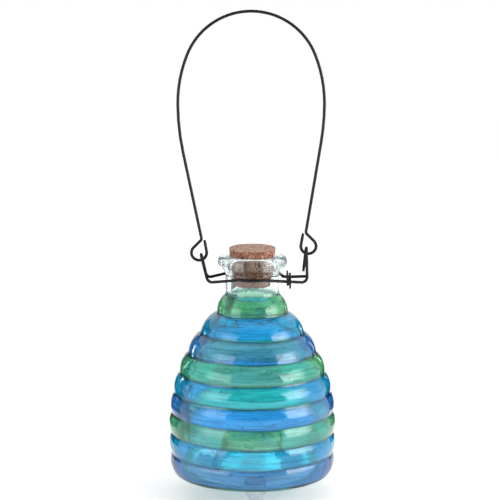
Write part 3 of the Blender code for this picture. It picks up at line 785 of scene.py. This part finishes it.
def pressed_cork():
    """Cork chips glued together: paler on the top, darker down the side and in the neck."""
    bench = NodeBench("pressed_cork")
    height = bench.height()

    # The cells of the Voronoi pattern are shaken by a noise, so that the chips get ragged edges
    tree = bench.tree
    shift = add_node(tree, "ShaderNodeTexNoise", {"Vector": bench.place, "Scale": 500.0}).outputs["Color"]
    small = add_node(tree, "ShaderNodeVectorMath", {0: shift, "Scale": CHIP_RAGGED}, operation="SCALE")
    shaken = add_node(tree, "ShaderNodeVectorMath", {0: bench.place, 1: small}, operation="ADD")
    cells = {"Vector": shaken, "Scale": CHIP_SCALE}
    chips = add_node(tree, "ShaderNodeTexVoronoi", cells)
    seams = add_node(tree, "ShaderNodeTexVoronoi", cells, feature="DISTANCE_TO_EDGE")
    chip = add_node(tree, "ShaderNodeSeparateColor", {0: chips.outputs["Color"]})

    side = bench.ramp(chip, [
        (0.0, (0.14, 0.035, 0.018, 1.0)), (0.20, (0.36, 0.12, 0.065, 1.0)),
        (0.60, (0.52, 0.22, 0.14, 1.0)), (1.0, (0.70, 0.39, 0.28, 1.0)),
    ])
    top = bench.ramp(chip, [
        (0.0, (0.38, 0.16, 0.09, 1.0)), (0.20, (0.60, 0.34, 0.23, 1.0)),
        (0.70, (0.74, 0.48, 0.36, 1.0)), (1.0, (0.86, 0.64, 0.52, 1.0)),
    ])
    rim = cork_high[2]
    colour = bench.mix(bench.spread(height, rim - 0.0009, rim - 0.0003), side, top)
    crumbs = bench.noise(900.0, 5.0, roughness=0.7)
    colour = bench.shade(colour, crumbs, [(0.38, 0.25), (0.50, 1.0)])
    seam = bench.spread(seams.outputs["Distance"], 0.0, 0.10)
    colour = bench.shade(colour, seam, [(0.0, 0.45), (1.0, 1.0)])
    # A little darker lower down, where the cork sits in the neck
    toward_mouth = bench.spread(height, MOUTH - 0.0035, MOUTH - 0.0005)
    colour = bench.shade(colour, toward_mouth, [(0.0, 0.92), (1.0, 1.0)])
    bench.surface({"Base Color": colour, "Roughness": bench.spread(crumbs, 0.3, 0.7, 0.75, 0.95)})
    bench.bump(bench.math("ADD", bench.math("MULTIPLY", seam, 0.6), crumbs), 0.9, 0.0005)
    return bench.material


cork_top = cork_high[2] - CORK_SKIN
cork_bottom = cork_low[2] + CORK_SKIN
top_edge = (cork_radius(cork_top) - CORK_EDGE, cork_top)
top_side = (cork_radius(cork_top - CORK_EDGE), cork_top - CORK_EDGE)
bottom_side = (cork_radius(cork_bottom + CORK_EDGE), cork_bottom + CORK_EDGE)
bottom_edge = (cork_radius(cork_bottom) - CORK_EDGE, cork_bottom)
cork_outline = [(0.0, cork_top)]
cork_outline += line((0.0, cork_top), top_edge, CORK_STEPS // 2)
cork_outline += arc(top_edge, top_side, CORK_EDGE * QUARTER_BULGE, 4)[1:]
cork_outline += line(top_side, bottom_side, CORK_STEPS)
cork_outline += arc(bottom_side, bottom_edge, CORK_EDGE * QUARTER_BULGE, 4)[1:]
cork_outline += line(bottom_edge, (0.0, cork_bottom), CORK_STEPS // 4)
cork_mesh = outline_mesh("cork_outline", cork_outline, closed=False)
cork = run_tree("pressed_cork", cork_mesh, LATHE, {
    "Segments": CORK_SEGMENTS,
    "Waviness": 0.0003,
    "Wave Scale": 700.0,
    "Material": pressed_cork(),
})
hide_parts("cork_stopper")
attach(cork, "cork")

# %% [markdown]
# Collar, binding and bail are iron wire, drawn round and blackened. A wire is a route with rounded corners
# and a thickness, so a second node tree turns a chain of edges into a curve and sweeps a circle along it.
# Pliers leave the cut ends a little thinner, and a fine noise takes the machine look off the length.

# %% Wire tree
WIRE_SIDES = 20
PINCH_LENGTH = 0.0012     # how far from a cut end the wire gets thinner
CUT_END_SHARE = 0.82      # thickness of a cut end, as a share of the wire's


def wire_tree():
    """Chain of edges in, round wire with pinched, closed ends out."""
    tree, given, result = tree_with_inputs("drawn_wire", [
        ("Radius", "NodeSocketFloat"),
        ("Pinch", "NodeSocketFloat"),
        ("Waviness", "NodeSocketFloat"),
        ("Wave Scale", "NodeSocketFloat"),
        ("Material", "NodeSocketMaterial"),
    ])
    to_curve = add_node(tree, "GeometryNodeMeshToCurve", {0: given})
    along = add_node(tree, "GeometryNodeSplineParameter").outputs["Length"]
    whole = add_node(tree, "GeometryNodeSplineLength").outputs["Length"]
    to_end = add_node(tree, "ShaderNodeMath", {0: whole, 1: along}, operation="SUBTRACT")
    nearest = add_node(tree, "ShaderNodeMath", {0: along, 1: to_end}, operation="MINIMUM")
    taper = add_node(tree, "ShaderNodeMapRange", {
        "Value": nearest, "From Max": PINCH_LENGTH, "To Min": given.outputs["Pinch"], "To Max": 1.0,
    }, interpolation_type="SMOOTHSTEP")
    circle = add_node(tree, "GeometryNodeCurvePrimitiveCircle", {
        "Resolution": WIRE_SIDES, "Radius": given.outputs["Radius"],
    })
    sweep = add_node(tree, "GeometryNodeCurveToMesh", {
        "Curve": to_curve, "Profile Curve": circle, "Scale": taper, "Fill Caps": True,
    })
    feed_node(tree, result, {0: wavy_skin(tree, given, sweep, 1.0)})
    return tree


def blackened_wire():
    """Satin black iron: mostly even, with duller patches, drawing marks and a few rubbed spots."""
    bench = NodeBench("blackened_wire")
    patches = bench.noise(120.0, 4.0, roughness=0.6)
    grain = bench.noise(1500.0, 3.0)
    rubbed = bench.spread(bench.noise(330.0, 5.0, roughness=0.7), 0.66, 0.74)
    colour = bench.ramp(patches, [(0.30, (0.003, 0.003, 0.004, 1.0)), (0.70, (0.009, 0.009, 0.010, 1.0))])
    colour = bench.mix(rubbed, colour, (0.07, 0.06, 0.055, 1.0))
    bench.surface({
        "Base Color": colour,
        "Metallic": bench.spread(rubbed, 0.0, 1.0, 0.15, 0.7),
        "Roughness": bench.spread(patches, 0.3, 0.7, 0.34, 0.55),
        "Specular IOR Level": 0.3,
    })
    bench.bump(bench.math("ADD", grain, patches), 0.35, 0.0001)
    return bench.material


WIRE = wire_tree()
WIRE_FINISH = blackened_wire()
print("wire tree ready")

# %% [markdown]
# The wires are bent with pliers and round bars, so a route is a list of corners, and each corner has the
# radius it was bent round. One helper rounds the corners, and the next one makes the finished wire.

# %% Bending helpers
BEND_STEP = math.radians(6.0)
STRAIGHT_STEP = 0.003     # a straight run gets a point every few millimetres, for the fine noise


def bend_corners(corners):
    """Round the corners of a wire's route. Each corner is (point, bend radius)."""
    points = [Vector(corners[0][0])]
    for before, here, after in zip(corners, corners[1:], corners[2:]):
        corner, radius = Vector(here[0]), here[1]
        if radius == 0.0:
            points.append(corner)
            continue
        back = (Vector(before[0]) - corner).normalized()
        ahead = (Vector(after[0]) - corner).normalized()
        turn = math.pi - back.angle(ahead)
        reach = radius * math.tan(turn / 2.0)
        centre = corner + (back + ahead).normalized() * math.hypot(radius, reach)
        spoke = corner + back * reach - centre
        axis = back.cross(ahead)
        steps = max(2, math.ceil(turn / BEND_STEP))
        for step in range(steps + 1):
            points.append(centre + Matrix.Rotation(-turn * step / steps, 3, axis) @ spoke)
    points.append(Vector(corners[-1][0]))
    return points


def wire(name, route, radius, body, node):
    """Make one finished wire along a route of corners, and let it ride on a body."""
    bent = bend_corners(route)
    points = [bent[0]]
    for point in bent[1:]:
        pieces = max(1, round((point - points[-1]).length / STRAIGHT_STEP))
        start = points[-1]
        points += [start.lerp(point, step / pieces) for step in range(1, pieces + 1)]
    length = sum((after - before).length for before, after in zip(points, points[1:]))
    print(f"{name}: {length * 1000:.0f} mm of wire")
    mesh = bpy.data.meshes.new(name + "_route")
    mesh.from_pydata(points, [(index, index + 1) for index in range(len(points) - 1)], [])
    piece = run_tree(name, mesh, WIRE, {
        "Radius": radius,
        "Pinch": CUT_END_SHARE,
        "Waviness": 0.00003,
        "Wave Scale": 600.0,
        "Material": WIRE_FINISH,
    })
    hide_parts(node)
    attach(piece, body)


print("bending helpers ready")

# %% [markdown]
# The collar is one wire. It starts behind the right side, folds over into a narrow upright eye, runs across
# the front of the neck to the left, folds into the second eye there and goes round the back of the neck to
# the right eye again. The stretches beside the neck are straight and touch the round part like a belt
# touches a wheel, so their ends are found from the angle of the touching line.

# %% Collar wire
WIRE_RADIUS = 0.0011
GAP = 0.0003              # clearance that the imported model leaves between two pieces
COLLAR_DROP = 0.0148
COLLAR_LEVEL = MOUTH - COLLAR_DROP
COLLAR_RADIUS = NECK_RADIUS + GAP + WIRE_RADIUS
EYE_HALF_GAP = 0.0038
LEFT_EYE_REACH = 0.037
LEFT_EYE_HEIGHT = 0.0154
RIGHT_EYE_REACH = 0.039
RIGHT_EYE_HEIGHT = 0.0202
EYE_FOOT_DROP = 0.004
EYE_FOOT_FORWARD = 0.007
LEFT_EYE_LEAN = 0.0050
RIGHT_EYE_LEAN = -0.0006
REAR_LEG_LEAN = 0.004
LEFT_REAR_DROP = 0.0025
FREE_LEG_LEAN = -0.002
FREE_END_RISE = 0.0022
REAR_BEND_CLEAR = 0.0015
REAR_BEND_FORWARD = 0.0065
REAR_END_PLAY = 0.001
CORNER_BEND = 0.004
NECK_STEP = 6.0           # degrees between two points round the neck
FOLD_BEND = 0.98 * EYE_HALF_GAP


def around_neck(angle):
    """Point of the wire round the neck, at an angle in degrees from the right."""
    turn = math.radians(angle)
    return Vector((COLLAR_RADIUS * math.cos(turn), COLLAR_RADIUS * math.sin(turn), COLLAR_LEVEL))


def touching_angle(point, side):
    """Angle at which a straight wire from a point meets the neck, side +1 to the left of it."""
    away = math.degrees(math.atan2(point.y, point.x))
    return away + side * math.degrees(math.acos(COLLAR_RADIUS / math.hypot(point.x, point.y)))


def neck_arc(start, end):
    """Route corners round the neck from one angle to the other."""
    steps = math.ceil(abs(end - start) / NECK_STEP)
    return [(around_neck(start + (end - start) * step / steps), 0.0) for step in range(steps + 1)]


right_fold = Vector((RIGHT_EYE_REACH, 0.0, COLLAR_LEVEL + RIGHT_EYE_HEIGHT))
left_fold = Vector((-LEFT_EYE_REACH, 0.0, COLLAR_LEVEL + LEFT_EYE_HEIGHT))
half_eye = Vector((0.0, EYE_HALF_GAP, 0.0))
eye_foot_level = COLLAR_LEVEL - EYE_FOOT_DROP
right_front = Vector((RIGHT_EYE_REACH - RIGHT_EYE_LEAN, -EYE_FOOT_FORWARD, eye_foot_level))
left_front = Vector((LEFT_EYE_LEAN - LEFT_EYE_REACH, -EYE_FOOT_FORWARD, eye_foot_level))
left_rear = Vector((REAR_LEG_LEAN - LEFT_EYE_REACH, EYE_HALF_GAP, COLLAR_LEVEL - LEFT_REAR_DROP))
free_end = Vector((RIGHT_EYE_REACH + FREE_LEG_LEAN, EYE_HALF_GAP, COLLAR_LEVEL + FREE_END_RISE))
rear_bend = Vector((COLLAR_RADIUS + REAR_BEND_CLEAR, -REAR_BEND_FORWARD, COLLAR_LEVEL))
behind_leg = 2.0 * WIRE_RADIUS + GAP + REAR_END_PLAY - EYE_FOOT_FORWARD
rear_end = Vector((RIGHT_EYE_REACH + WIRE_RADIUS, behind_leg, COLLAR_LEVEL))

collar_route = [(free_end, 0.0), (right_fold + half_eye, FOLD_BEND), (right_fold - half_eye, FOLD_BEND)]
collar_route += [(right_front, CORNER_BEND)]
collar_route += neck_arc(touching_angle(right_front, -1), touching_angle(left_front, 1))
collar_route += [(left_front, CORNER_BEND)]
collar_route += [(left_fold - half_eye, FOLD_BEND), (left_fold + half_eye, FOLD_BEND)]
collar_route += [(left_rear, CORNER_BEND)]
collar_route += neck_arc(touching_angle(left_rear, -1), touching_angle(rear_bend, 1))
collar_route += [(rear_bend, CORNER_BEND), (rear_end, 0.0)]
wire("collar_iron_wire", collar_route, WIRE_RADIUS, "collar", "collar_wire")

# %% [markdown]
# A thinner wire binds the collar's two stretches together beside the neck. It is wound one turn and a half
# round both of them, and its cut ends stand off at the back and below.

# %% Binding wire
TIE_RADIUS = 0.0008
TIE_OUTWARD = 0.0042      # from the wire round the neck out to the first turn
TIE_REACH = COLLAR_RADIUS + TIE_OUTWARD
TIE_TAIL = 0.0018
WIRE_FACET = 0.0001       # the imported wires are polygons, so their neighbours stand off a hair more


def point_at_reach(start, end, reach):
    """Point of the straight run from start to end at a distance of reach to the right."""
    return start.lerp(end, (reach - start.x) / (end.x - start.x))


tie_front = point_at_reach(around_neck(touching_angle(right_front, -1)), right_front, TIE_REACH)
tie_rear = point_at_reach(rear_bend, rear_end, TIE_REACH)
across = Vector((0.0, tie_rear.y - tie_front.y, tie_rear.z - tie_front.z))
tie_along = across.normalized()
tie_up = Vector((0.0, -tie_along.z, tie_along.y))
tie_clear = WIRE_RADIUS + TIE_RADIUS + GAP + 2.0 * WIRE_FACET
tie_pitch = 2.0 * TIE_RADIUS + GAP
far_side = across.length + tie_clear

tie_turns = [
    (0.0, far_side + TIE_TAIL, tie_clear, 0.0),
    (0.0, -tie_clear, tie_clear, tie_clear),
    (0.0, -tie_clear, -tie_clear, tie_clear),
    (tie_pitch, far_side, -tie_clear, tie_clear),
    (tie_pitch, far_side, tie_clear, tie_clear),
    (tie_pitch, -tie_clear, tie_clear, tie_clear),
    (tie_pitch, -tie_clear, -tie_clear - TIE_TAIL, 0.0),
]
tie_start = Vector((TIE_REACH, tie_front.y, tie_front.z))
tie_route = [(tie_start + Vector((shift, 0.0, 0.0)) + tie_along * forth + tie_up * lift, bend)
             for shift, forth, lift, bend in tie_turns]
wire("binding_iron_wire", tie_route, TIE_RADIUS, "collar", "collar_tie")

# %% [markdown]
# The bail is one longer wire, bent like an old bucket handle: a round crown, shoulders of a larger radius
# and nearly straight arms that end in open hooks. Each half is a chain of arcs that run smoothly into one
# another, worked out from the crown down, and the arm is aimed so that it meets the hook at its knee.

# %% Bail wire
CROWN_RADIUS = 0.049
CROWN_END = math.radians(90.0 - 68.0)
SHOULDER_RADIUS = 0.094
SIDE_RADIUS = 0.170
BAIL_RISE = 0.1901
BAIL_TOP = COLLAR_LEVEL + BAIL_RISE
BAIL_SHIFT = -0.0009
EYE_SLACK = 0.0041
HOOK_RADIUS = 0.0055
HOOK_OVERHANG = 0.0015
HOOK_ENTRY = math.radians(45.0)
HOOK_TIP = math.radians(-180.0 - 10.0)
HOOK_TIP_LENGTH = 0.0085
KNEE_BEND = 0.0025
KNEE_RUN = 0.0083
BAIL_STEP = math.radians(4.0)
RIGHT_ANGLE = math.pi / 2.0


def moved(start, distance, angle):
    """Point in the bail's plane at a distance from another one, the angle measured from outward."""
    return (start[0] + distance * math.cos(angle), start[1] + distance * math.sin(angle))


def swept_arc(centre, radius, start, end):
    """Corners on an arc in the bail's plane, angles measured from outward, start left out."""
    steps = math.ceil(abs(end - start) / BAIL_STEP)
    angles = [start + (end - start) * step / steps for step in range(1, steps + 1)]
    return [moved(centre, radius, angle) for angle in angles]


def bail_side(side, fold):
    """Route of one half of the bail from the crown to the hook's tip."""
    crown = (0.0, BAIL_TOP - CROWN_RADIUS)
    shoulder_centre = moved(crown, CROWN_RADIUS - SHOULDER_RADIUS, CROWN_END)
    flank = (shoulder_centre[0] + SHOULDER_RADIUS - SIDE_RADIUS, shoulder_centre[1])
    crossing = (side * (fold.x - BAIL_SHIFT), fold.z - EYE_SLACK)
    hook_rise = math.sqrt(HOOK_RADIUS ** 2 - HOOK_OVERHANG ** 2)
    hook = (crossing[0] + HOOK_OVERHANG, crossing[1] + hook_rise)
    hook_start = moved(hook, HOOK_RADIUS, HOOK_ENTRY)
    knee = moved(hook_start, KNEE_RUN, HOOK_ENTRY + RIGHT_ANGLE)
    toward_knee = math.atan2(knee[1] - flank[1], knee[0] - flank[0])
    lean = toward_knee + math.acos(SIDE_RADIUS / math.dist(knee, flank))

    corners = swept_arc(crown, CROWN_RADIUS, RIGHT_ANGLE, CROWN_END)
    corners += swept_arc(shoulder_centre, SHOULDER_RADIUS, CROWN_END, 0.0)
    corners += swept_arc(flank, SIDE_RADIUS, 0.0, lean)
    knee_index = len(corners)
    corners += [knee, hook_start]
    corners += swept_arc(hook, HOOK_RADIUS, HOOK_ENTRY, HOOK_TIP)
    corners += [moved(corners[-1], HOOK_TIP_LENGTH, HOOK_TIP - RIGHT_ANGLE)]
    route = [(Vector((BAIL_SHIFT + side * outward, 0.0, height)), 0.0) for outward, height in corners]
    route[knee_index] = (route[knee_index][0], KNEE_BEND)
    return route


crown_top = (Vector((BAIL_SHIFT, 0.0, BAIL_TOP)), 0.0)
bail_route = bail_side(-1, left_fold)[::-1] + [crown_top] + bail_side(1, right_fold)
wire("bail_iron_wire", bail_route, WIRE_RADIUS, "bail", "bail_handle")
